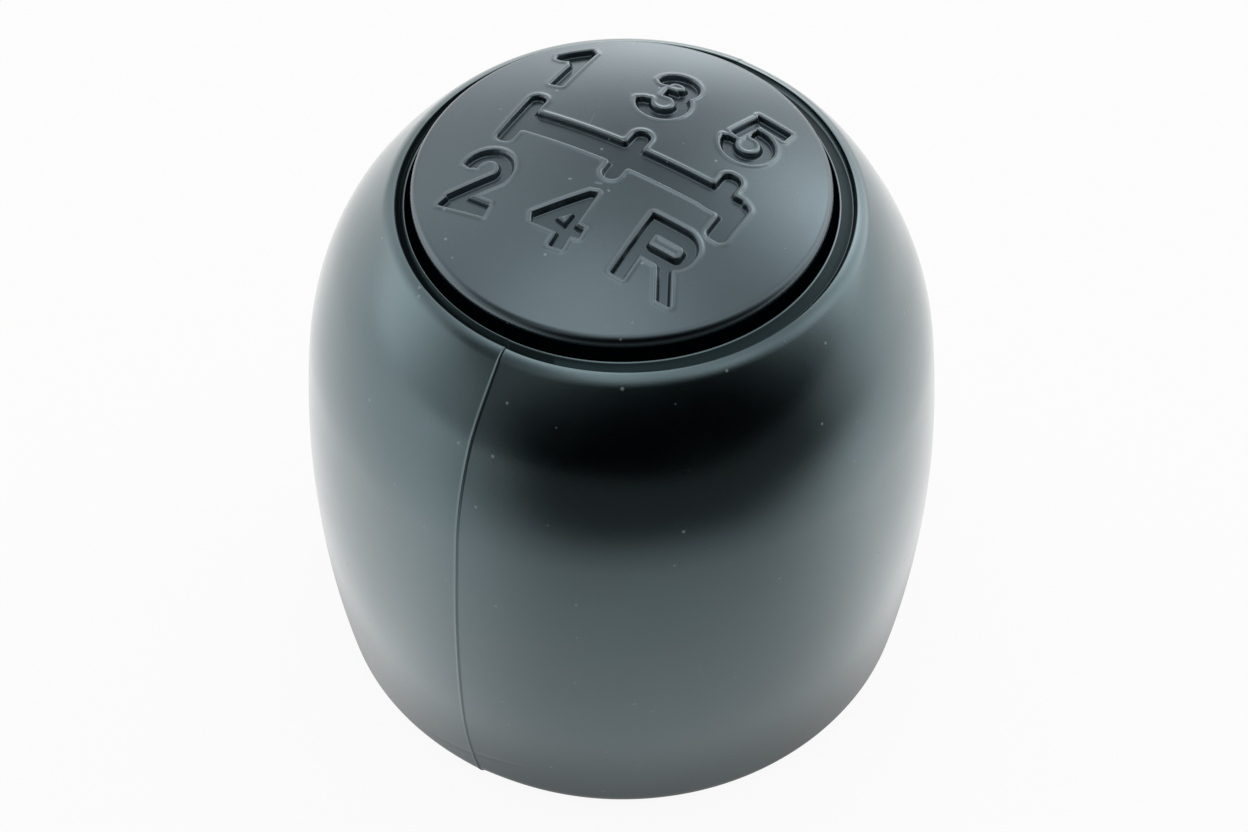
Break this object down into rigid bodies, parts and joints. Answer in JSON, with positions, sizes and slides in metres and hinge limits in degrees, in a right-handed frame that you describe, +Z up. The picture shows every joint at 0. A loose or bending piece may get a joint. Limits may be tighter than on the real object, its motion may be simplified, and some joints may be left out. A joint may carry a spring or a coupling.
{
  "type": "gear shift knob",
  "caption": "Barrel-shaped push-on gear shift knob with a domed cap that carries a recessed five-speed shift pattern.",
  "frame": {"origin": "middle of the foot, on the plane that the knob stands on", "axes": "+Z up along the lever's axis, +X along the gate's cross bar towards reverse, +Y towards the gears 1, 3 and 5"},
  "size_m": [0.0501, 0.0502, 0.0504],
  "materials": {
    "soft_skin": "satin black soft moulding, smooth, with a fine parting line",
    "cap_plastic": "satin black, smooth, with recessed signs",
    "core_plastic": "dark grey, as moulded",
    "sleeve_rubber": "matt black",
    "spring_steel": "plain spring steel",
    "base_plastic": "black, as moulded"
  },
  "bodies": {
    "root": {"grip": "soft_skin", "core": "core_plastic", "pattern_cap": "cap_plastic", "lever_sleeve": "sleeve_rubber", "clamp_ring": "spring_steel", "base_plate": "base_plastic"}
  },
  "joints": []
}
